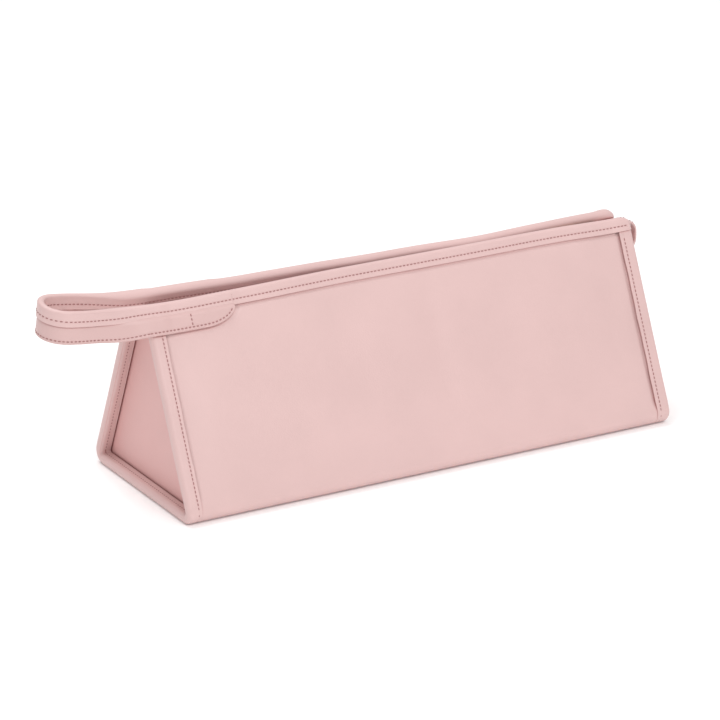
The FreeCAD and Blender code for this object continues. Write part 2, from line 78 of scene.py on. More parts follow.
cover_low, cover_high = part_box("front_cover")
board_low, board_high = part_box("front_board")
lining_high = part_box("front_lining")[1]
skin_step = board_low[1] - cover_low[1]
lean_run = cover_high[1] + HINGE_Y - skin_step
lean_rise = cover_high[2] - HINGE_Z
LEAN = math.atan2(lean_run, lean_rise)
SIN, COS = math.sin(LEAN), math.cos(LEAN)
WALL_RUN = math.hypot(lean_run, lean_rise)            # from the base fold to the sheets' top edge
COVER = skin_step / COS
WALL = (lining_high[1] + HINGE_Y - lean_run) / COS    # cover, board and lining together
BOARD_IN = (board_high[1] + HINGE_Y - lean_run) / COS
FOLD_RADIUS = HINGE_Z / (1 + SIN)
BASE_HALF = HINGE_Y - FOLD_RADIUS * COS
FLANGE_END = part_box("front_hem")[1][0]
PANEL_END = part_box("base_cover")[1][0]
END_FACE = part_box("right_end_panel")[0][0] + COVER
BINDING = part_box("left_seam_edge")[0][0] + FLANGE_END                       # the binding's skin
FLANGE = FOLD_RADIUS - 1.2 * MM                                             # all that the binding grips
COIL_LOW, COIL_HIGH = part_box("front_zip_coil")
COIL_RADIUS = (COIL_HIGH[2] - COIL_LOW[2]) / 2
COIL_Z = (COIL_HIGH[2] + COIL_LOW[2]) / 2
COIL_Y = -(COIL_HIGH[1] + COIL_LOW[1]) / 2
COIL_END = COIL_HIGH[0]
LOOP_LOW, LOOP_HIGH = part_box("strap_loop")
TAB_LOW, TAB_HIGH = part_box("zip_end_tab")
TAIL_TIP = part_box("strap_front_tail")[1][0] - 3 * MM

# ---------------------------------------------------------------- sizes of the soft details

BINDING_LEG = {LEFT: 8.8 * MM, RIGHT: 9.6 * MM}     # on the outside, in from the flange's edge
BINDING_STITCH = {LEFT: 6.9 * MM, RIGHT: 7.3 * MM}
RETURN_LEG = FLANGE_END - END_FACE - 0.9 * MM        # on the inside, down to the end panel
RETURN_STITCH = 4.2 * MM
HEM_HEIGHT = 8.0 * MM
HEM_RETURN = 6.5 * MM
STRAP_HEIGHT = 20.0 * MM
STITCH_PITCH = 2.5 * MM
STITCH_LENGTH = 1.8 * MM
THREAD_RADIUS = 0.34 * MM
THREAD_SEAT = 0.12 * MM            # how far a thread is sunk in the leather
GROOVE_WIDTH = 0.6 * MM            # of the leather drawn in along a row of stitches
SEAM_WIDTH = 1.3 * MM
SEAM_SINK = 0.75                   # millimetres, see wall_bulge
STEP = STITCH_PITCH / 4
HEM_STITCH = 6.0 * MM              # below the crest
STRAP_STITCH = 1.9 * MM            # in from the strap's edge
CROSS_STITCH_X = -141.0 * MM
TAIL_CURVE = 20.0 * MM            # length of the tail's rounded end
LOOP_DEPTH = STRAP_HEIGHT - HEM_HEIGHT - 1.1 * MM      # how much of the strap shows below the hem
TAIL_DEPTH = LOOP_DEPTH - 0.7 * MM                     # the same on the walls
CREST_LIFT = 1.0 * MM                                  # the hem's fold stands this far off the sheets
HEM_LOW = HEM_HEIGHT + CREST_LIFT                      # from the crest to the hem's lower edge
SIDE_TOP = WALL_RUN - HEM_HEIGHT
HEM_MIDDLE = (WALL + 0.6 * MM) / 2
HEM_HALF = HEM_MIDDLE + BINDING
HEM_LINE = WALL_RUN - 8.0 * MM     # where the hem's lower edge lies on the wall
LOOP_TILT = math.radians(8.0)

PINK = (0.69, 0.475, 0.458)
# painted shade: a redder, more saturated pink for the end panels, standing in for the shade on them
END_SHADE_PINK = (0.74, 0.435, 0.416)
STRAP_PINK = (0.645, 0.432, 0.415)
THREAD_PINK = (0.36, 0.17, 0.165)
CREASE_SHADE = (0.46, 0.18, 0.17)            # painted shade: the dark red put down in cracks in place of their shadow


def smoothstep(low, high, value):
    t = np.clip((value - low) / (high - low), 0, 1)
    return t * t * (3 - 2 * t)


def unit(vectors):
    return vectors / np.linalg.norm(vectors, axis=-1, keepdims=True)


# ---------------------------------------------------------------- the shape of the soft walls


def wall_bulge(side, x, up):
    """How far a wall stands out from its flat plane: a slight crown, pulled in along its seams.

    The terms are in millimetres until the last line.
    """
    along, rise = np.abs(x) / PANEL_END, np.clip(up / WALL_RUN, 0, 1)
    ends = 1 - np.exp(-((1 - np.clip(along, 0, 1)) * PANEL_END / (13 * MM)) ** 2)
    level = np.sin(np.pi * rise) ** 0.8
    crown = 1.3 * level * ends
    dip = -0.7 * (1 - ends) * level
    ripple = (0.20 * np.sin(x / 0.031 + 1.3 * side + 3 * rise) * np.sin(2.2 * np.pi * rise)
              + 0.12 * np.sin(x / 0.017 + 2.1 + side) * np.sin(3.1 * np.pi * rise + 0.6)) * ends * level
    valley_place = np.abs(x - PANEL_END / 2) + PANEL_END / 2 - PANEL_END + 17 * MM
    valley = -0.9 * np.exp(-(valley_place / (9 * MM)) ** 2)
    leg = np.where(x < 0, BINDING_LEG[LEFT], BINDING_LEG[RIGHT])
    seam = -SEAM_SINK * np.exp(-((np.abs(x) - FLANGE_END + leg + 0.5 * MM) / SEAM_WIDTH) ** 2)
    hem_seam = -SEAM_SINK * np.exp(-((up - HEM_LINE) / SEAM_WIDTH) ** 2)
    below_hem = 1 - smoothstep(HEM_LINE + 1 * MM, HEM_LINE + 4 * MM, up)
    low = smoothstep(0, 0.06, rise) * below_hem
    return (crown + dip + ripple + valley * level + seam * low + hem_seam
            + tail_seam(x, up) * below_hem) * MM


def tail_seam(x, up):
    """The cover pressed in along the edge of the strap's tail."""
    down = np.maximum(WALL_RUN + BINDING + CREST_LIFT - HEM_LOW - up, 0)
    share = np.maximum((x - TAIL_TIP + TAIL_CURVE) / TAIL_CURVE, 0)
    outside = (np.hypot(share, down / TAIL_DEPTH) - 1) * 12 * MM
    return -0.7 * np.exp(-((outside - 1.0 * MM) / (1.2 * MM)) ** 2)


def mouth_shift(side, x):
    """How far the mouth's edge wanders sideways along the pouch, away from the middle."""
    if side == FRONT:
        inward = 1.9 * smoothstep(-0.10, -0.03, x) * (1 - smoothstep(0.115, 0.155, x))
        return (0.5 * np.exp(-((x + 0.117) / 0.03) ** 2) - inward
                - 0.6 * np.exp(-((x - 0.098) / 0.03) ** 2)) * MM
    return (1.4 * (1 - smoothstep(-0.10, -0.03, x)) - 2.2 * smoothstep(-0.05, 0.0, x)
            + 1.0 * smoothstep(0.11, 0.145, x)
            - 3.0 * np.exp(-((x - 0.066) / 0.032) ** 2)) * MM


def wander(side, x, up):
    """The same at a height up a wall, from nothing at its fold."""
    return mouth_shift(side, x) * np.clip(up / WALL_RUN, 0, 1) ** 1.6


def wall_points(side, x, up, depth):
    """Places on a wall: x along, up the slope from the fold, depth inside its outer plane."""
    x, up = np.broadcast_arrays(np.asarray(x, float), np.asarray(up, float))
    depth = depth - wall_bulge(side, x, up)
    y = side * (HINGE_Y - up * SIN - depth * COS + wander(side, x, up))
    z = HINGE_Z + up * COS - depth * SIN
    return np.stack([x, y, z], -1)


def fold_points(side, x, angle, depth):
    """Places on a base fold: angle 0 is at the base and goes up to the wall."""
    turn = -np.pi / 2 + angle
    radius = FOLD_RADIUS - depth
    y = side * (BASE_HALF + radius * np.cos(turn))
    z = FOLD_RADIUS + radius * np.sin(turn)
    x, y, z = np.broadcast_arrays(x, y, z)
    return np.stack([x, y, z], -1)


FOLD_TURN = np.pi / 2 + LEAN


def base_points(x, y, depth):
    x, y = np.broadcast_arrays(np.asarray(x, float), np.asarray(y, float))
    return np.stack([x, y, np.full(x.shape, depth)], -1)


# ---------------------------------------------------------------- meshes from grids of points


class Shape:
    """Quads with their own corner normals, gathered into one mesh."""

    def __init__(self):
        self.points, self.faces, self.normals = [], [], []

    def add_points(self, points):
        first = len(self.points)
        self.points.extend(np.asarray(points, float).reshape(-1, 3).tolist())
        return first

    def add_face(self, corners, normals=None):
        if normals is None:
            p = [np.array(self.points[i]) for i in corners]
            n = sum(np.cross(p[i] - p[0], p[(i + 1) % len(p)] - p[0]) for i in range(1, len(p) - 1))
            length = np.linalg.norm(n)
            n = n / length if length > 0 else np.array([0.0, 0.0, 1.0])
            normals = [n] * len(corners)
        self.faces.append(tuple(corners))
        self.normals.extend(normals)

    def add_grid(self, first, rows, columns, normals, closed, flip=False):
        """Quads between the rows of a grid of points already added."""
        flat = normals.reshape(-1, 3)
        for row in range(rows - 1):
            for column in range(columns if closed else columns - 1):
                after = (column + 1) % columns
                a, b = row * columns + column, row * columns + after
                c, d = (row + 1) * columns + after, (row + 1) * columns + column
                corners = (a, b, c, d) if not flip else (d, c, b, a)
                self.faces.append(tuple(first + i for i in corners))
                self.normals.extend(flat[i] for i in corners)

    def finish(self, name, material):
        mesh = bpy.data.meshes.new(name)
        mesh.from_pydata(self.points, [], self.faces)
        mesh.polygons.foreach_set("use_smooth", [True] * len(self.faces))
        mesh.update()
        volume = signed_volume(mesh)
        normals = np.array(self.normals)
        if volume < 0:
            mesh.flip_normals()
            starts = np.array([p.loop_start for p in mesh.polygons])
            totals = np.array([p.loop_total for p in mesh.polygons])
            order = np.concatenate([np.r_[s, np.arange(s + t - 1, s, -1)] for s, t in zip(starts, totals)])
            normals = normals[order]
        face_normal = np.empty(len(mesh.polygons) * 3)
        mesh.polygons.foreach_get("normal", face_normal)
        face_normal = np.repeat(face_normal.reshape(-1, 3), [p.loop_total for p in mesh.polygons], axis=0)
        normals *= np.where((normals * face_normal).sum(1, keepdims=True) < 0, -1, 1)
        mesh.normals_split_custom_set(normals.tolist())
        piece = bpy.data.objects.new(name, mesh)
        bpy.context.scene.collection.objects.link(piece)
        mesh.materials.append(material)
        return piece


def signed_volume(mesh):
    mesh.calc_loop_triangles()
    points = np.empty(len(mesh.vertices) * 3)
    mesh.vertices.foreach_get("co", points)
    points = points.reshape(-1, 3)
    corners = np.empty(len(mesh.loop_triangles) * 3, int)
    mesh.loop_triangles.foreach_get("vertices", corners)
    a, b, c = points[corners.reshape(-1, 3)].transpose(1, 0, 2)
    return float((a * np.cross(b, c)).sum() / 6)


def spread(grid, axis):
    """Directions between neighbours along an axis of a grid whose spacing may change."""
    steps = unit(np.diff(grid, axis=axis) + 1e-15)
    first, last = np.take(steps, [0], axis), np.take(steps, [-1], axis)
    return np.concatenate([first, steps], axis) + np.concatenate([steps, last], axis)


def grid_normals(grid, closed):
    """Smooth normals of a grid of points, across its whole extent."""
    along = spread(grid, 0)
    across = np.roll(grid, -1, 1) - np.roll(grid, 1, 1) if closed else spread(grid, 1)
    normals = np.cross(along, across)
    length = np.linalg.norm(normals, axis=-1, keepdims=True)
    return normals / np.maximum(length, 1e-12)


def sheet_piece(name, outer, inner, material, outer_normals=None, inner_normals=None):
    """A closed sheet between two open grids of the same size."""
    shape = Shape()
    rows, columns = outer.shape[:2]
    n_outer = grid_normals(outer, False) if outer_normals is None else outer_normals
    n_inner = grid_normals(inner, False) if inner_normals is None else inner_normals
    a = shape.add_points(outer)
    b = shape.add_points(inner)
    shape.add_grid(a, rows, columns, n_outer, False)
    shape.add_grid(b, rows, columns, n_inner, False, flip=True)
    rim = ([(0, c) for c in range(columns)] + [(r, columns - 1) for r in range(1, rows)]
           + [(rows - 1, c) for c in range(columns - 2, -1, -1)] + [(r, 0) for r in range(rows - 2, 0, -1)])
    for (r0, c0), (r1, c1) in zip(rim, rim[1:] + rim[:1]):
        i, j = r0 * columns + c0, r1 * columns + c1
        shape.add_face((a + j, a + i, b + i, b + j))
    return shape.finish(name, material)


def band_piece(name, grid, material, normals=None):
    """A closed band: rows are closed cross-sections, with a flat cap at each end."""
    shape = Shape()
    rows, columns = grid.shape[:2]
    first = shape.add_points(grid)
    shape.add_grid(first, rows, columns, grid_normals(grid, True) if normals is None else normals, True)
    shape.add_face([first + c for c in range(columns - 1, -1, -1)])
    shape.add_face([first + (rows - 1) * columns + c for c in range(columns)])
    return shape.finish(name, material)


def thread_piece(name, places, along, out, material, length=STITCH_LENGTH, radius=THREAD_RADIUS):
    """A row of stitches, each a short bent thread that dives into the leather at both ends."""
    shape = Shape()
    sides, stops = 6, np.array([-0.5, -0.42, -0.2, 0.2, 0.42, 0.5])
    thin = np.array([0.35, 0.8, 1.0, 1.0, 0.8, 0.35]) * radius
    sink = np.array([1.3, 0.5, 0.0, 0.0, 0.5, 1.3]) * radius
    turn = np.arange(sides) * 2 * np.pi / sides
    for place, way, up in zip(places, unit(along), unit(out)):
        aside = np.cross(way, up)
        ring = np.cos(turn)[:, None] * aside + np.sin(turn)[:, None] * up
        rows = (place + (stops * length)[:, None, None] * way - sink[:, None, None] * up
                + thin[:, None, None] * ring)
        first = shape.add_points(rows)
        normals = np.broadcast_to(ring, (len(stops), sides, 3))
        shape.add_grid(first, len(stops), sides, normals, True)
        shape.add_face([first + c for c in range(sides - 1, -1, -1)])
        shape.add_face([first + (len(stops) - 1) * sides + c for c in range(sides)])
    return shape.finish(name, material)


def stitch_phase(line):
    """Turns of the stitch pattern along a line of points: a stitch's middle is at each whole turn."""
    return np.concatenate([[0], np.cumsum(np.linalg.norm(np.diff(line, axis=0), axis=1))]) / STITCH_PITCH


def stitch_row(name, line, out, phase, material):
    """Stitches along a line of points, with the outward direction and the phase at each point."""
    at = np.arange(math.ceil(phase[0]), math.ceil(phase[-1]))

    def along(values, turns):
        return np.stack([np.interp(turns, phase, values[:, axis]) for axis in range(3)], -1)

    way = along(line, at + 0.2) - along(line, at - 0.2)
    return thread_piece(name, along(line, at), way, along(out, at), material)


# ---------------------------------------------------------------- materials


def make_material(name, colour, roughness, scale, bump, tint=0.035, sheen=0.0, metallic=0.0,
                  weave=False, cells=True, crease_shade=None):
    """The shade colour given last is painted shade: ambient occlusion mixes it into the base colour in cracks
    between two skins, and None paints no shade.
    """
    material = bpy.data.materials.new(name)
    material.use_nodes = True
    nodes, links = material.node_tree.nodes, material.node_tree.links
    shader = nodes["Principled BSDF"]
    shader.inputs["Metallic"].default_value = metallic
    shader.inputs["Sheen Weight"].default_value = sheen
    place = nodes.new("ShaderNodeTexCoord")

    cloud = nodes.new("ShaderNodeTexNoise")
    cloud.inputs["Scale"].default_value = 22
    cloud.inputs["Detail"].default_value = 3
    links.new(place.outputs["Object"], cloud.inputs["Vector"])
    ramp = nodes.new("ShaderNodeValToRGB")
    ramp.color_ramp.elements[0].position = 0.3
    ramp.color_ramp.elements[1].position = 0.7
    ramp.color_ramp.elements[0].color = (*[c * (1 - tint) for c in colour], 1)
    ramp.color_ramp.elements[1].color = (*[min(1, c * (1 + tint * 0.5)) for c in colour], 1)
    links.new(cloud.outputs["Fac"], ramp.inputs["Fac"])
    if crease_shade is None:
        links.new(ramp.outputs["Color"], shader.inputs["Base Color"])
    else:
        # painted shade: ambient occlusion darkens the base colour toward the shade colour in cracks and
        # corners
        painted_shade_ao = nodes.new("ShaderNodeAmbientOcclusion")
        painted_shade_ao.samples = 8
        painted_shade_ao.inputs["Distance"].default_value = 1.5 * MM
        depth = nodes.new("ShaderNodeMapRange")
        depth.inputs["From Min"].default_value = 0.4
        depth.inputs["From Max"].default_value = 0.92
        shade = nodes.new("ShaderNodeMix")
        shade.data_type = "RGBA"
        shade.inputs["A"].default_value = (*crease_shade, 1)
        links.new(painted_shade_ao.outputs["AO"], depth.inputs["Value"])
        links.new(depth.outputs["Result"], shade.inputs["Factor"])
        links.new(ramp.outputs["Color"], shade.inputs["B"])
        links.new(shade.outputs["Result"], shader.inputs["Base Color"])

    grain = nodes.new("ShaderNodeTexNoise")
    grain.inputs["Scale"].default_value = scale * 0.35
    grain.inputs["Detail"].default_value = 4
    links.new(place.outputs["Object"], grain.inputs["Vector"])
    gloss = nodes.new("ShaderNodeMapRange")
    gloss.inputs["To Min"].default_value = roughness - 0.06
    gloss.inputs["To Max"].default_value = roughness + 0.06
    links.new(grain.outputs["Fac"], gloss.inputs["Value"])
    links.new(gloss.outputs["Result"], shader.inputs["Roughness"])

    if weave:
        fine = nodes.new("ShaderNodeTexWave")
        fine.wave_type = "BANDS"
        fine.bands_direction = "DIAGONAL"
        fine.inputs["Scale"].default_value = scale * 0.3
        fine.inputs["Distortion"].default_value = 1.0
        height = fine.outputs["Fac"]
    elif cells:
        fine = nodes.new("ShaderNodeTexVoronoi")
        fine.feature = "SMOOTH_F1"
        fine.inputs["Scale"].default_value = scale
        height = fine.outputs["Distance"]
    else:
        fine = nodes.new("ShaderNodeTexNoise")
        fine.inputs["Scale"].default_value = scale
        height = fine.outputs["Fac"]
    links.new(place.outputs["Object"], fine.inputs["Vector"])
    mix = nodes.new("ShaderNodeMath")
    mix.operation = "MULTIPLY_ADD"
    mix.inputs[1].default_value = 0.6
    links.new(grain.outputs["Fac"], mix.inputs[0])
    links.new(height, mix.inputs[2])
    relief = nodes.new("ShaderNodeBump")
    relief.inputs["Strength"].default_value = bump
    relief.inputs["Distance"].default_value = 0.12 * MM
    links.new(mix.outputs["Value"], relief.inputs["Height"])
    links.new(relief.outputs["Normal"], shader.inputs["Normal"])
    return material


# the four leathers below get painted shade in their cracks
LEATHER = make_material("pouch_leather", PINK, 0.44, 1400, 0.55, sheen=0.05, crease_shade=CREASE_SHADE)
# painted shade: the end panels' leather, a shaded copy of the pink
END_SHADE_LEATHER = make_material("end_leather_painted_shade", END_SHADE_PINK, 0.46, 1400, 0.5, sheen=0.05, crease_shade=CREASE_SHADE)
EDGE_LEATHER = make_material("binding_leather", PINK, 0.42, 1500, 0.45, sheen=0.05, crease_shade=CREASE_SHADE)
STRAP_LEATHER = make_material("strap_leather", STRAP_PINK, 0.42, 1500, 0.45, sheen=0.05, crease_shade=CREASE_SHADE)
LINING = make_material("lining_fabric", (0.56, 0.36, 0.35), 0.8, 2200, 0.7, sheen=0.3, weave=True)
TAPE_CLOTH = make_material("zip_tape", (0.55, 0.33, 0.32), 0.75, 2600, 0.8, sheen=0.2, weave=True)
BOARD = make_material("stiffener", (0.80, 0.78, 0.74), 0.9, 900, 0.3, cells=False)
WEB = make_material("stiffener_web", (0.80, 0.78, 0.74), 0.9, 900, 0.3, cells=False)
TEETH = make_material("zip_teeth", (0.58, 0.36, 0.35), 0.35, 900, 0.05, cells=False)
THREAD = make_material("thread", THREAD_PINK, 0.7, 3000, 0.4, cells=False)
METAL = make_material("zip_metal", (0.68, 0.49, 0.35), 0.34, 500, 0.05, metallic=1.0, tint=0.03, cells=False)

BY_SLOT = {"soft_leather": LEATHER, "binding_leather": EDGE_LEATHER, "strap_leather": STRAP_LEATHER,
           "stiffener": BOARD, "stiffener_web": WEB, "lining_fabric": LINING, "zip_tape": TAPE_CLOTH,
           "zip_teeth": TEETH, "zip_metal": METAL}

for node_name, node_object in frame["nodes"].items():
    slot_name = next(s["material_slot"] for s in frame["record"]["subparts"] if s["node"] == node_name)
    node_object.data.materials.clear()
    node_object.data.materials.append(BY_SLOT[slot_name])


# ---------------------------------------------------------------- how pieces move


def stands_for(piece, nodes):
    if nodes:
        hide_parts(*nodes)
    return piece


def rides(piece, body, slot_name, *nodes):
    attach(piece, body)
    return stands_for(piece, nodes)


def follows_wall(piece, side, end, slot_name, *nodes):
    """A half of a wall's piece, with its place baked into its mesh; the CAD parts it stands for are hidden.
    """
    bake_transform(piece)
    return stands_for(piece, nodes)


def halves(x):
    """The two halves of an array of places along the pouch that has one at x = 0."""
    middle = int(np.argmin(np.abs(x)))
    return ((LEFT, slice(0, middle + 1)), (RIGHT, slice(middle, len(x))))


WALL_NAME = {FRONT: "front", BACK: "back"}
END_NAME = {LEFT: "left", RIGHT: "right"}

# ---------------------------------------------------------------- cover, board and lining

LAYER_GAP = 0.02 * MM
LAYERS = [("cover", 0.0, COVER, LEATHER, "soft_leather"),
          ("board", COVER + LAYER_GAP, BOARD_IN, BOARD, "stiffener"),
          ("lining", BOARD_IN + LAYER_GAP, WALL, LINING, "lining_fabric")]


def wrap_grid(x, depth):
    """The whole wrap at one depth: down the front wall, under the base, up the back wall."""
    up = np.concatenate([np.linspace(WALL_RUN, HEM_LINE + 4 * MM, 4)[:-1],
                         np.linspace(HEM_LINE + 4 * MM, HEM_LINE - 4 * MM, 15)[:-1],
                         np.linspace(HEM_LINE - 4 * MM, HEM_LINE - 16 * MM, 13)[:-1],
                         np.linspace(HEM_LINE - 16 * MM, 0, 34)[:-1]])
    turn = np.linspace(FOLD_TURN, 0, 12)
    across = np.linspace(-BASE_HALF, BASE_HALF, 16)[1:-1]
    strips = [wall_points(FRONT, x[:, None], up[None, :], depth),
              fold_points(FRONT, x[:, None], turn[None, :], depth),
              base_points(x[:, None], across[None, :], depth),
              fold_points(BACK, x[:, None], turn[::-1][None, :], depth),
              wall_points(BACK, x[:, None], up[::-1][None, :], depth)]
    grid = np.concatenate(strips, 1)
    return grid, len(up)


def make_walls_and_base():
    for layer, outer_depth, inner_depth, material, slot_name in LAYERS:
        reach = PANEL_END + (1.4 * MM if layer == "cover" else 0)      # the cover goes under the bindings
        near_end = np.linspace(reach - 8 * MM, reach, 14)
        middle_x = [np.linspace(-reach + 8 * MM, TAIL_TIP - TAIL_CURVE, 9),
                    np.linspace(TAIL_TIP - TAIL_CURVE, TAIL_TIP + 5 * MM, 24)[1:],
                    np.linspace(TAIL_TIP + 5 * MM, 0, 37)[1:],
                    np.linspace(0, reach - 8 * MM, 51)[1:]]
        panel_x = np.concatenate([-near_end[::-1][:-1], *middle_x, near_end[1:]])
        outer, wall_rows = wrap_grid(panel_x, outer_depth)
        inner, _ = wrap_grid(panel_x, inner_depth)
        n_outer, n_inner = grid_normals(outer, False), grid_normals(inner, False)
        total = outer.shape[1]
        spans = {FRONT: slice(0, wall_rows + 1), BACK: slice(total - wall_rows - 1, total)}
        base = slice(wall_rows, total - wall_rows)
        piece = sheet_piece(f"base_{layer}_soft", outer[:, base], inner[:, base], material,
                            n_outer[:, base], n_inner[:, base])
        rides(piece, "pouch", slot_name, f"base_{layer}")
        for side, span in spans.items():
            for end, half in halves(panel_x):
                name = f"{WALL_NAME[side]}_{layer}_{END_NAME[end]}"
                piece = sheet_piece(name, outer[half, span], inner[half, span], material,
                                    n_outer[half, span], n_inner[half, span])
                follows_wall(piece, side, end, slot_name, f"{WALL_NAME[side]}_{layer}")


make_walls_and_base()

# ---------------------------------------------------------------- folded strips: hems and bindings


def pucker(phase):
    """How strongly the thread pulls the leather in, along a row of stitches."""
    return (0.65 - 0.35 * np.cos(2 * np.pi * phase)) * 0.30 * MM


def folded_section(out_half, in_half, out_leg, in_leg, crown, skin, phase, stitch_down, both=0.0):
    """A strip folded over an edge, in section at each station: across, and down from the crest."""
    out_half, in_half, out_leg, in_leg, crown = [
        np.broadcast_to(np.asarray(value, float), phase.shape)[:, None]
        for value in (out_half, in_half, out_leg, in_leg, crown)]
    pull = pucker(phase)[:, None]
    middle, half = (out_half - in_half) / 2, (out_half + in_half) / 2

    def row(across, down):
        return np.stack(np.broadcast_arrays(across, down), -1)

    climb = np.linspace(1, 0, 17)
    down = crown + (out_leg - crown) * climb
    outer = row(out_half - pull * np.exp(-((down - stitch_down) / GROOVE_WIDTH) ** 2), down)
    angle = np.linspace(0, np.pi, 13)[1:-1]
    crest = row(middle + half * np.cos(angle), crown * (1 - np.sin(angle)))
    down = crown + (in_leg - crown) * climb[::-1]
    inner = row(-in_half + both * pull * np.exp(-((down - stitch_down) / GROOVE_WIDTH) ** 2), down)
    turn = np.linspace(0.2, 0.8, 3) * np.pi
    inner_edge = row(-in_half + skin / 2 * (1 - np.cos(turn)), in_leg + 0.4 * skin * np.sin(turn))
    inner_back = row(-in_half + skin, in_leg + (crown + skin - in_leg) * np.linspace(0, 1, 4))
    under = row(middle - (half - skin) * np.cos(angle[::2]), skin + crown * (1 - np.sin(angle[::2])))
    outer_back = row(out_half - skin, out_leg + (crown + skin - out_leg) * np.linspace(1, 0, 5))
    outer_edge = row(out_half - skin / 2 * (1 + np.cos(turn)), out_leg + 0.4 * skin * np.sin(turn))
    return np.concatenate([outer, crest, inner, inner_edge, inner_back, under, outer_back, outer_edge], 1)


def sweep(path, out, down, section):
    return path[:, None] + section[..., :1] * out[:, None] + section[..., 1:] * down[:, None]


# ---------------------------------------------------------------- the mouth's edge and the wrist loop

LOOP_SKIN = 1.25 * MM
LOOP_RADIUS = LOOP_HIGH[1] - LOOP_SKIN
LOOP_CENTRE = LOOP_LOW[0] + LOOP_SKIN + LOOP_RADIUS + math.sin(LOOP_TILT) * STRAP_HEIGHT


def loop_lift(x):
    gone = -x - FLANGE_END - 2 * MM
    return math.tan(LOOP_TILT) * (gone + np.sqrt(gone ** 2 + (6 * MM) ** 2)) / 2


def mouth_route():
    """The crest line: along the front wall, round the wrist loop and along the back wall."""
    count = 2 * round(FLANGE_END / STEP) + 1
    wall_x = np.linspace(FLANGE_END, -FLANGE_END, count)
    rise = WALL_RUN + BINDING + CREST_LIFT
    front = wall_points(FRONT, wall_x, np.full(count, rise), HEM_MIDDLE)
    leg = np.linspace(0, 1, round((-LOOP_CENTRE - FLANGE_END) / STEP))[1:]
    leg_x = -FLANGE_END + (LOOP_CENTRE + FLANGE_END) * leg
    back = wall_points(BACK, wall_x[::-1], np.full(count, rise), HEM_MIDDLE)
    legs = [np.stack([leg_x, start + (side * LOOP_RADIUS - start) * smoothstep(0, 0.9, leg),
                      np.full(leg.shape, front[-1, 2])], -1)
            for side, start in ((FRONT, front[-1, 1]), (BACK, back[0, 1]))]
    around = np.linspace(0, np.pi, round(np.pi * LOOP_RADIUS / STEP))[1:-1]
    turn = np.stack([LOOP_CENTRE - LOOP_RADIUS * np.sin(around), -LOOP_RADIUS * np.cos(around),
                     np.full(around.shape, front[-1, 2])], -1)
    path = np.concatenate([front, legs[0], turn, legs[1][::-1], back])
    path[:, 2] += loop_lift(path[:, 0]) - 0.9 * MM * np.exp(-((path[:, 0] + 0.145) / 0.028) ** 2)
    behind = smoothstep(-1, 1, path[:, 1] / LOOP_RADIUS)
    path[:, 2] += 2.6 * MM * smoothstep(0.09, 0.15, -path[:, 0]) * behind
    return path, count


ROUTE, WALL_STATIONS = mouth_route()
ROUTE_SIDE = np.where(np.arange(len(ROUTE)) < len(ROUTE) / 2, FRONT, BACK)
ROUTE_PHASE = stitch_phase(ROUTE)
# How far the hem and strap have twisted upright, and how far they have drawn into line.
ON_LOOP = smoothstep(FLANGE_END - 3 * MM, FLANGE_END + 32 * MM, -ROUTE[:, 0])
DRAWN_IN = smoothstep(FLANGE_END - 1 * MM, FLANGE_END + 34 * MM, -ROUTE[:, 0])


def route_frames():
    """Outward and downward directions at each station of the mouth's edge."""
    along = unit(np.gradient(ROUTE, axis=0))
    wall_up = np.stack([0 * ROUTE_SIDE, -ROUTE_SIDE * SIN, 0 * ROUTE_SIDE + COS], -1)
    loop_up = np.array([math.sin(LOOP_TILT), 0, math.cos(LOOP_TILT)])
    up = unit(wall_up * (1 - ON_LOOP[:, None]) + loop_up * ON_LOOP[:, None])
    out = unit(np.cross(up, along))
    return out, -np.cross(along, out)


ROUTE_OUT, ROUTE_DOWN = route_frames()
FRONT_HALF = WALL_STATIONS // 2
LAST = len(ROUTE) - 1
ROUTE_SPANS = {"front_right": slice(0, FRONT_HALF + 1),
               "front_left": slice(FRONT_HALF, WALL_STATIONS),
               "loop": slice(WALL_STATIONS - 1, LAST - WALL_STATIONS + 2),
               "back_left": slice(LAST - WALL_STATIONS + 1, LAST - FRONT_HALF + 1),
               "back_right": slice(LAST - FRONT_HALF, LAST + 1)}
OVER_BINDING = smoothstep(PANEL_END - 7 * MM, PANEL_END + 1 * MM, np.abs(ROUTE[:, 0]))
OVER_TAIL = smoothstep(-TAIL_TIP - 5 * MM, -TAIL_TIP + 3 * MM, -ROUTE[:, 0])
HEM_OUT = (HEM_HALF + (0.9 * OVER_BINDING + 0.7 * OVER_TAIL) * MM) * (1 - DRAWN_IN) + 2.0 * MM * DRAWN_IN
HEM_IN = (HEM_HALF + 0.2 * MM * OVER_BINDING) * (1 - DRAWN_IN) + 2.0 * MM * DRAWN_IN
STRAP_OUT = (HEM_MIDDLE + LOOP_SKIN + 0.9 * MM * OVER_BINDING) * (1 - DRAWN_IN)


def place_on_route(piece, span_name, slot_name, nodes):
    if span_name == "loop":
        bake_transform(piece)
        return stands_for(piece, nodes)
    wall, end = span_name.split("_")
    return follows_wall(piece, {v: k for k, v in WALL_NAME.items()}[wall],
                        {v: k for k, v in END_NAME.items()}[end], slot_name, *nodes)


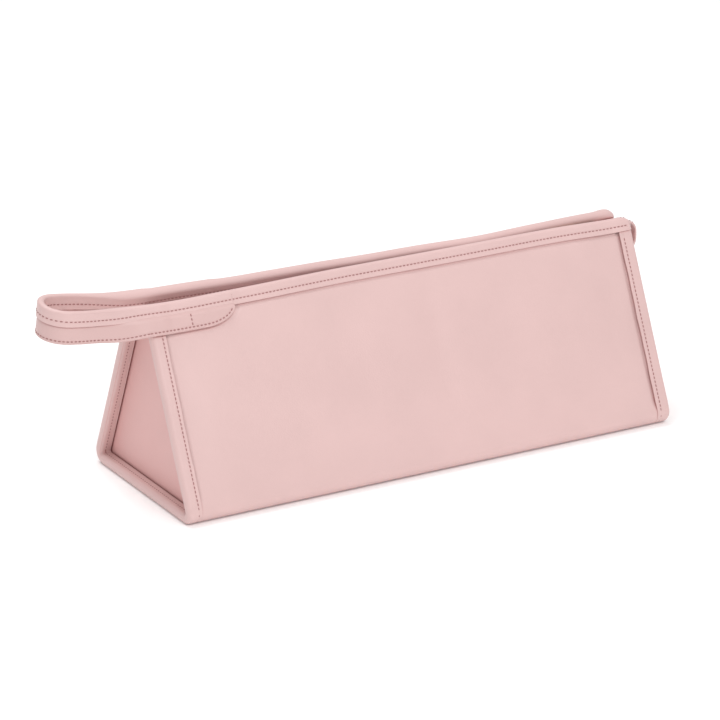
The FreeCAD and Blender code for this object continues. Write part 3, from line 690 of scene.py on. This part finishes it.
def make_hems():
    in_leg = HEM_RETURN * (1 - ON_LOOP) + HEM_HEIGHT * ON_LOOP
    section = folded_section(HEM_OUT, HEM_IN, HEM_LOW, in_leg + CREST_LIFT, 2.3 * MM * (1 - ON_LOOP)
                             + 1.6 * MM * ON_LOOP, BINDING, ROUTE_PHASE, HEM_STITCH, both=1.0)
    near = np.clip((ROUTE[:, 0] - FLANGE_END + 3.2 * MM) / (3.2 * MM), 0, 1)
    section[..., 0] *= np.sqrt(1 - (0.93 * near) ** 2)[:, None]
    near = np.clip((ROUTE[:, 0] - FLANGE_END + 8 * MM) / (8 * MM), 0, 1)
    section[..., 1] = HEM_HEIGHT - (HEM_HEIGHT - section[..., 1]) * np.sqrt(1 - (0.82 * near) ** 2)[:, None]
    grid = sweep(ROUTE, ROUTE_OUT, ROUTE_DOWN, section)
    normals = grid_normals(grid, True)
    nodes = {"front_right": ["front_hem"], "front_left": ["front_hem"], "back_left": ["back_hem"],
             "back_right": ["back_hem"], "loop": ["strap_loop_hem"]}
    for span_name, span in ROUTE_SPANS.items():
        piece = band_piece(f"hem_{span_name}", grid[span], EDGE_LEATHER, normals[span])
        place_on_route(piece, span_name, "binding_leather", nodes[span_name])
        for face, half in (("outer", HEM_OUT), ("inner", -HEM_IN)):
            line = ROUTE + (half * np.ones(len(ROUTE)))[:, None] * ROUTE_OUT + HEM_STITCH * ROUTE_DOWN
            out = ROUTE_OUT * (1 if face == "outer" else -1)
            inside = slice(max(span.start, 5), min(span.stop, LAST - 5))
            row = stitch_row(f"hem_{span_name}_{face}_stitches", line[inside] - THREAD_SEAT * out[inside],
                             out[inside], ROUTE_PHASE[inside], THREAD)
            place_on_route(row, span_name, "zip_tape", [])


def tail_low(x, inset=0.0):
    """How far down from the crest the strap reaches, with its end rounded on each wall."""
    start = TAIL_TIP - TAIL_CURVE
    share = np.clip((x - start) / (TAIL_CURVE - inset), 0, 1)
    free = smoothstep(FLANGE_END - 20 * MM, FLANGE_END + 25 * MM, -x)
    depth = TAIL_DEPTH + (LOOP_DEPTH - TAIL_DEPTH) * free
    return HEM_LOW + (depth - inset) * np.sqrt(1 - share ** 2)


def strap_section(span, half_scale, high, low_margin):
    """The strap in section: a flat band with rounded edges, thinned where the hem covers it."""
    x = ROUTE[span, 0]
    low = tail_low(x) - low_margin
    climb = np.linspace(1, 0, 25) ** 0.9
    down = high + (low[:, None] - high) * climb
    thin = smoothstep(HEM_HEIGHT - 0.5 * MM, HEM_HEIGHT + 2.5 * MM, down)
    half = LOOP_SKIN * half_scale * (0.55 + 0.45 * thin)
    edge = np.clip((low[:, None] - down) / (0.9 * MM), 0, 1)
    half = half * np.sqrt(1 - (1 - edge) ** 2 * 0.75)
    seat = -LOOP_SKIN * (0.45 * (1 - thin)) * (1 - ON_LOOP[span])[:, None]
    pull = pucker(ROUTE_PHASE[span])[:, None] * half_scale
    row_down = tail_low(x, inset=STRAP_STITCH)[:, None]
    groove = pull * np.exp(-((down - row_down) / GROOVE_WIDTH) ** 2)
    centre = STRAP_OUT[span][:, None] + seat
    outer = np.stack([centre + half - groove, down], -1)
    inner = np.stack([centre - half + groove * ON_LOOP[span][:, None], down], -1)[:, ::-1]
    return np.concatenate([outer, inner], 1)


def strap_face(span, row_down, out_sign):
    centre = STRAP_OUT[span] + out_sign * LOOP_SKIN
    return ROUTE[span] + centre[:, None] * ROUTE_OUT[span] + row_down[:, None] * ROUTE_DOWN[span]


def make_strap():
    tip = int(np.argmax(ROUTE[:, 0] <= TAIL_TIP - 0.2 * MM))
    whole = slice(tip, LAST - tip + 1)
    spans = {"front_left": slice(tip, WALL_STATIONS), "loop": ROUTE_SPANS["loop"],
             "back_left": slice(LAST - WALL_STATIONS + 1, LAST - tip + 1)}
    nodes = {"front_left": ["strap_front_tail"], "back_left": ["strap_back_tail"],
             "loop": ["strap_loop", "strap_front_bend", "strap_back_bend"]}
    grid = sweep(ROUTE[whole], ROUTE_OUT[whole], ROUTE_DOWN[whole], strap_section(whole, 1.0, 3 * MM, 0.0))
    normals = grid_normals(grid, True)
    for span_name, span in spans.items():
        part = slice(span.start - tip, span.stop - tip)
        piece = band_piece(f"strap_{span_name}", grid[part], STRAP_LEATHER, normals[part])
        place_on_route(piece, span_name, "strap_leather", nodes[span_name])
        row_down = tail_low(ROUTE[span, 0], inset=STRAP_STITCH)
        faces = [("outer", 1)] + ([("inner", -1)] if span_name == "loop" else [])
        for face, sign in faces:
            line = strap_face(span, row_down, sign) - sign * THREAD_SEAT * ROUTE_OUT[span]
            seen = row_down > HEM_HEIGHT + 2 * MM
            row = stitch_row(f"strap_{span_name}_{face}_stitches", line[seen],
                             sign * ROUTE_OUT[span][seen], stitch_phase(line[seen]) + 0.5, THREAD)
            place_on_route(row, span_name, "zip_tape", [])
        if span_name != "loop":
            station = int(np.argmin(np.abs(ROUTE[span, 0] - CROSS_STITCH_X)))
            depth = np.linspace(HEM_HEIGHT + 1.2 * MM, STRAP_HEIGHT - 2.6 * MM, 12)
            start, out = ROUTE[span][station], ROUTE_OUT[span][station]
            line = (start + (STRAP_OUT[span][station] + LOOP_SKIN) * out
                    + depth[:, None] * ROUTE_DOWN[span][station])
            row = stitch_row(f"strap_{span_name}_cross_stitches", line, np.broadcast_to(out, line.shape),
                             stitch_phase(line) + 0.5, THREAD)
            place_on_route(row, span_name, "zip_tape", [])
    span = ROUTE_SPANS["loop"]
    grid = sweep(ROUTE[span], ROUTE_OUT[span], ROUTE_DOWN[span], strap_section(span, 0.4, 4 * MM, 0.8 * MM))
    place_on_route(band_piece("strap_core_soft", grid, WEB), "loop", "stiffener_web", ["strap_loop_core"])


make_hems()
make_strap()

# ---------------------------------------------------------------- bindings and end panels


def flange_route(end, depth, top):
    """Down the front wall, round the base and up the back wall beside an end, with outward directions."""
    climb = np.linspace(top, 0, round(top / STEP))
    turn = np.linspace(FOLD_TURN, 0, round(FOLD_TURN * FOLD_RADIUS / STEP))[1:]
    across = np.linspace(-BASE_HALF, BASE_HALF, round(2 * BASE_HALF / STEP))[1:]
    wall_y = -(HINGE_Y - climb * SIN - depth * COS)
    wall = np.stack([0 * climb, wall_y, HINGE_Z + climb * COS - depth * SIN], -1)
    wall_out = np.broadcast_to([0, -COS, SIN], wall.shape)
    angle = -np.pi / 2 + turn
    radius = FOLD_RADIUS - depth
    fold_y = -(BASE_HALF + radius * np.cos(angle))
    fold = np.stack([0 * turn, fold_y, FOLD_RADIUS + radius * np.sin(angle)], -1)
    fold_out = np.stack([0 * turn, -np.cos(angle), np.sin(angle)], -1)
    base = np.stack([0 * across, across, 0 * across + depth], -1)
    base_out = np.broadcast_to([0.0, 0.0, -1.0], base.shape)
    back_wall = wall[::-1] * (1, -1, 1)
    wall[:, 1] -= wander(FRONT, end * FLANGE_END, climb)
    back_wall[:, 1] += wander(BACK, end * FLANGE_END, climb[::-1])
    mirror = (1, -1, 1)
    path = np.concatenate([wall, fold, base, fold[::-1][1:] * mirror, back_wall])
    out = np.concatenate([wall_out, fold_out, base_out, fold_out[::-1][1:] * mirror, wall_out[::-1] * mirror])
    return path, out


def make_bindings():
    back = FLANGE / 2
    for end in (LEFT, RIGHT):
        path, out = flange_route(end, FLANGE / 2, SIDE_TOP + 3 * MM)
        phase = stitch_phase(path)
        gone = phase * STITCH_PITCH
        wave = 0.12 * MM * np.sin(gone / (7 * MM)) + 0.08 * MM * np.sin(gone / (2.9 * MM) + 1)
        proud = FLANGE / 2 + BINDING * smoothstep(2 * MM, 12 * MM, path[:, 2])
        edge = path + [end * FLANGE_END, 0, 0]
        down = np.broadcast_to([-end, 0.0, 0.0], path.shape)
        section = folded_section(proud, back, BINDING_LEG[end] + wave, RETURN_LEG, 2.6 * MM, BINDING,
                                 phase, BINDING_STITCH[end], both=1.0)
        grid = sweep(edge, out, down, section)
        name = f"{END_NAME[end]}_binding"
        rides(band_piece(f"{name}_soft", grid, EDGE_LEATHER), "pouch", "binding_leather", name)
        seen = slice(10, -10)
        for face, half, depth in (("outer", proud, BINDING_STITCH[end]), ("inner", -back, RETURN_STITCH)):
            sign = 1 if face == "outer" else -1
            inset = (0.12 + 0.3 * (1 - smoothstep(2 * MM, 12 * MM, path[:, 2])) * (sign > 0)) * MM
            line = edge + (half - sign * inset)[:, None] * out + depth * down
            row = stitch_row(f"{name}_{face}_stitches", line[seen], sign * out[seen], phase[seen], THREAD)
            rides(row, "pouch", "zip_tape")


END_SINK = 2.2 * MM


def end_grid(depth, low, high, across_count=41, rise_count=49):
    """Places over an end panel's outline, inside the walls at a depth: y and z grids."""
    share = (1 - np.cos(np.linspace(0, np.pi, rise_count))) / 2
    z = low + (high - low) * share
    radius = FOLD_RADIUS - depth
    side_up = (z - HINGE_Z + depth * SIN) / COS
    half = HINGE_Y - side_up * SIN - depth * COS
    in_fold = z < FOLD_RADIUS + radius * math.sin(LEAN)
    fold_half = BASE_HALF + np.sqrt(np.maximum(radius ** 2 - (z - FOLD_RADIUS) ** 2, 0))
    half = np.where(in_fold, fold_half, half)
    u = np.sin(np.linspace(-np.pi / 2, np.pi / 2, across_count))
    return u[None, :] * half[:, None], np.broadcast_to(z[:, None], (rise_count, across_count)), half


def end_hollow(y, z, half, low, high):
    """How far an end panel sinks in at its middle."""
    u = np.clip(y / np.maximum(half[:, None], 1e-6), -1, 1)
    rise = (z - low) / (high - low)
    return END_SINK * (1 - u ** 2) * np.sin(np.pi * np.clip(rise, 0, 1)) ** 0.8


def end_sheet(name, end, face, depth, low, high, thickness, material):
    """A closed sheet across an end, at x = face, sunk in at its middle."""
    y, z, half = end_grid(depth, low, high)
    share = np.abs(y) / np.maximum(half[:, None], 1e-6)
    climb = np.clip((z - HINGE_Z) / COS, 0, WALL_RUN)
    wide = share * np.where(y < 0, -wander(FRONT, end * FLANGE_END, climb),
                            wander(BACK, end * FLANGE_END, climb))
    sunk = end_hollow(y, z, half, low, high)
    ripple = 0.18 * MM * np.sin(y / (11 * MM) + 1) * np.sin(z / (14 * MM)) * (sunk / END_SINK)
    outer = np.stack([end * (face - sunk - ripple), y + wide, z], -1)
    inner = np.stack([end * (face - thickness - sunk - ripple), y + wide, z], -1)
    return sheet_piece(name, outer, inner, material)


def make_ends():
    for end in (LEFT, RIGHT):
        tag = END_NAME[end]
        panel_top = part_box(f"{tag}_end_panel")[1][2]
        piece = end_sheet(f"{tag}_end_face", end, END_FACE, WALL, WALL, panel_top, COVER, END_SHADE_LEATHER)
        rides(piece, "pouch", "soft_leather", f"{tag}_end_panel")
        outer, _ = flange_route(end, WALL, (panel_top - HINGE_Z) / COS)
        inner, _ = flange_route(end, WALL + COVER, (panel_top - HINGE_Z) / COS)
        reach = np.linspace(END_FACE + 0.6 * MM, FLANGE_END - BINDING, 8)
        outward = np.stack([end * reach, 0 * reach, 0 * reach], -1)[None]
        grids = [line[::2, None] + outward for line in (outer, inner)]
        piece = sheet_piece(f"{tag}_end_lip", *grids, END_SHADE_LEATHER)
        rides(piece, "pouch", "soft_leather", f"{tag}_end_panel")
        for layer, _, _, material, slot_name in LAYERS[1:]:
            low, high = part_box(f"{tag}_end_{layer}")
            face = max(abs(low[0]), abs(high[0]))
            piece = end_sheet(f"{tag}_end_{layer}_soft", end, face, WALL + 0.3 * MM, low[2], high[2],
                              high[0] - low[0], material)
            rides(piece, "pouch", slot_name, f"{tag}_end_{layer}")


make_bindings()
make_ends()

# ---------------------------------------------------------------- zip and its end tab


TAPE_SKIN = 0.5 * MM


def tape_grid(side, x, count_straight=4, count_bend=7, count_under=5):
    """A tape's upper face: down inside the wall from under the hem, then in to its coil."""
    start, turn = WALL_RUN - 1 * MM, WALL_RUN - 6.8 * MM
    x = x[:, None]
    top = wall_points(side, x, np.linspace(start, turn, count_straight)[None], WALL + 0.1 * MM)
    a = wall_points(side, x, np.array([[turn]]), WALL + 0.1 * MM)
    corner = wall_points(side, x, np.array([[turn - 3.2 * MM]]), WALL + 0.3 * MM)
    c = np.stack(np.broadcast_arrays(x, side * 3.6 * MM, COIL_Z + 0.2 * MM), -1)
    t = np.linspace(0, 1, count_bend)[1:][None, :, None]
    bend = a * (1 - t) ** 2 + 2 * corner * t * (1 - t) + c * t ** 2
    s = np.linspace(0, 1, count_under)[1:][None, :]
    under = np.stack(np.broadcast_arrays(x, side * (3.6 - 2.9 * s) * MM,
                                         COIL_Z + (0.2 - 1.45 * smoothstep(0, 0.6, s)) * MM), -1)
    return np.concatenate([top, bend, under], 1)


def coil_piece(name, side, x_from, x_to):
    """A monofilament wound as a long row of flattened turns."""
    pitch, wire, sides = 1.5 * MM, 0.42 * MM, 5
    turns = round((x_to - x_from) / pitch)
    angle = np.linspace(0, 2 * np.pi * turns, turns * 10 + 1)
    x = x_from + (x_to - x_from) * angle / angle[-1]
    phase = angle + (np.pi if side == BACK else 0)
    y = side * (COIL_Y + (COIL_RADIUS - wire - 0.05 * MM) * np.cos(phase))
    z = COIL_Z + (COIL_RADIUS - wire - 0.1 * MM) * np.sin(phase)
    path = np.stack([x, y, z], -1)
    along = unit(np.gradient(path, axis=0))
    outward = unit(np.stack([0 * x, side * np.cos(phase), np.sin(phase)], -1))
    aside = unit(np.cross(along, outward))
    outward = np.cross(aside, along)
    ring = np.arange(sides) * 2 * np.pi / sides
    normals = np.cos(ring)[None, :, None] * outward[:, None] + np.sin(ring)[None, :, None] * aside[:, None]
    return band_piece(name, path[:, None] + wire * normals, TEETH, normals)


def eased_copy(node, name, material, body, slot_name, width):
    """A CAD part's own shape with its sharp edges rounded over."""
    source = frame["nodes"][node]
    piece = bpy.data.objects.new(name, source.data.copy())
    bpy.context.scene.collection.objects.link(piece)
    piece.matrix_world = source.matrix_world
    piece.data.materials.clear()
    piece.data.materials.append(material)
    weld = piece.modifiers.new("weld", "WELD")
    weld.merge_threshold = 1e-6
    ease = piece.modifiers.new("ease", "BEVEL")
    ease.width = width
    ease.segments = 3
    ease.limit_method = "ANGLE"
    ease.angle_limit = math.radians(40)
    ease.harden_normals = True
    bpy.context.view_layer.objects.active = piece
    with bpy.context.temp_override(object=piece, active_object=piece, selected_objects=[piece]):
        bpy.ops.object.modifier_apply(modifier="weld")
        bpy.ops.object.modifier_apply(modifier="ease")
    return rides(piece, body, slot_name, node)


def make_zip():
    tape_x = np.linspace(-PANEL_END + 0.3 * MM, PANEL_END - 0.3 * MM, 97)
    for side in (FRONT, BACK):
        upper = tape_grid(side, tape_x)
        normals = grid_normals(upper, False)
        normals *= np.where(normals[..., 2:] < 0, -1, 1)
        lower = upper - normals * TAPE_SKIN
        for end, half in halves(tape_x):
            name = f"{WALL_NAME[side]}_zip_tape"
            piece = sheet_piece(f"{name}_{END_NAME[end]}", upper[half], lower[half], TAPE_CLOTH)
            follows_wall(piece, side, end, "zip_tape", name)
            span = (-COIL_END, 0) if end == LEFT else (0, COIL_END)
            name = f"{WALL_NAME[side]}_zip_coil"
            follows_wall(coil_piece(f"{name}_{END_NAME[end]}", side, *span), side, end, "zip_teeth", name)
    eased_copy("slider_body", "slider_eased", METAL, "slider", "zip_metal", 0.35 * MM)
    eased_copy("zip_pull", "pull_eased", METAL, "pull", "zip_metal", 0.3 * MM)


def make_end_tab():
    """The leather strip folded round the zip's closed end, with a row of stitches along each edge."""
    skin = 1.7 * MM
    radius = (TAB_HIGH[2] - TAB_LOW[2]) / 2 - skin / 2
    level = (TAB_HIGH[2] + TAB_LOW[2]) / 2
    turn = np.linspace(np.pi / 2, -np.pi / 2, 45)
    power = 0.74
    arc = np.stack([FLANGE_END + radius * np.abs(np.cos(turn)) ** power, 0 * turn,
                    level + radius * np.sign(np.sin(turn)) * np.abs(np.sin(turn)) ** power], -1)
    root = np.stack([np.linspace(TAB_LOW[0], FLANGE_END, 14)[:-1], np.zeros(13),
                     np.full(13, level + radius)], -1)
    tail = np.stack([np.linspace(FLANGE_END, END_FACE + 0.5 * MM, 10)[1:], np.zeros(9),
                     np.full(9, level - radius)], -1)
    path = np.concatenate([root, arc, tail])
    path[:, 2] += 0.8 * MM * smoothstep(TAB_LOW[0], FLANGE_END, path[:, 0]) * (path[:, 2] > level)
    along = unit(np.gradient(path, axis=0))
    aside = np.broadcast_to([0.0, 1.0, 0.0], path.shape)
    out = unit(np.cross(aside, along)) * -1
    half_width = (TAB_HIGH[1] - TAB_LOW[1]) / 2
    corner = np.linspace(0, 2 * np.pi, 37)[:-1]
    across = half_width * np.sign(np.cos(corner)) * np.abs(np.cos(corner)) ** 0.35
    thick = skin / 2 * np.sign(np.sin(corner)) * np.abs(np.sin(corner)) ** 0.55
    grid = path[:, None] + across[None, :, None] * aside[:, None] + thick[None, :, None] * out[:, None]
    rides(band_piece("zip_end_tab_soft", grid, EDGE_LEATHER), "pouch", "binding_leather", "zip_end_tab")
    for sign, tag in ((-1, "front"), (1, "back")):
        line = path + sign * (half_width - 1.7 * MM) * aside + (skin / 2 - 0.05 * MM) * out
        seen = slice(2, -8)
        row = stitch_row(f"zip_end_tab_{tag}_stitches", line[seen], out[seen],
                         stitch_phase(line[seen]) + 0.5, THREAD)
        rides(row, "pouch", "zip_tape")


make_zip()
make_end_tab()

# ---------------------------------------------------------------- floor, light, camera


def make_floor():
    material = bpy.data.materials.new("studio_floor")
    material.use_nodes = True
    shader = material.node_tree.nodes["Principled BSDF"]
    shader.inputs["Base Color"].default_value = (0.93, 0.93, 0.93, 1)
    shader.inputs["Roughness"].default_value = 0.9
    shader.inputs["Emission Color"].default_value = (1, 1, 1, 1)
    shader.inputs["Emission Strength"].default_value = 0.12
    bpy.ops.mesh.primitive_plane_add(size=14, location=(0, 0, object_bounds()[0][2] - 0.0002))
    floor = bpy.context.object
    floor.name = "studio_floor"
    floor.data.materials.append(material)


def aim(thing, target):
    direction = Vector(target) - thing.location
    thing.rotation_euler = direction.to_track_quat("-Z", "Y").to_euler()


def make_light(name, place, target, size, power):
    light = bpy.data.lights.new(name, "AREA")
    light.shape = "SQUARE"
    light.size = size
    light.energy = power
    lamp = bpy.data.objects.new(name, light)
    bpy.context.scene.collection.objects.link(lamp)
    lamp.location = place
    aim(lamp, target)
    return lamp


def make_world():
    world = bpy.data.worlds.new("studio")
    bpy.context.scene.world = world
    world.use_nodes = True
    background = world.node_tree.nodes["Background"]
    background.inputs["Color"].default_value = (1, 1, 1, 1)
    background.inputs["Strength"].default_value = 0.62


def make_camera():
    azimuth, elevation, distance = math.radians(-29.94), math.radians(20.2), 2.239
    back = Vector((math.sin(azimuth) * math.cos(elevation), -math.cos(azimuth) * math.cos(elevation),
                   math.sin(elevation)))
    right = Vector((math.cos(azimuth), math.sin(azimuth), 0))
    up = back.cross(right)
    target = Vector((0, 0, 0.060)) - right * 16.2 * MM - up * 6.5 * MM
    data = bpy.data.cameras.new("camera")
    data.lens = 184.7
    data.sensor_width = 36
    data.clip_start = 0.05
    camera = bpy.data.objects.new("camera", data)
    bpy.context.scene.collection.objects.link(camera)
    camera.location = target + back * distance
    aim(camera, target)
    bpy.context.scene.camera = camera


make_floor()
make_world()
make_light("key", (-0.1, -1.5, 1.6), (0, 0, 0.05), 1.1, 17)
make_light("fill", (-1.6, -0.9, 0.9), (0, 0, 0.05), 1.4, 1.5)
make_light("top", (-0.2, 0.6, 1.8), (0, 0, 0.05), 1.1, 14)
make_camera()
bpy.context.scene.view_settings.view_transform = "Standard"
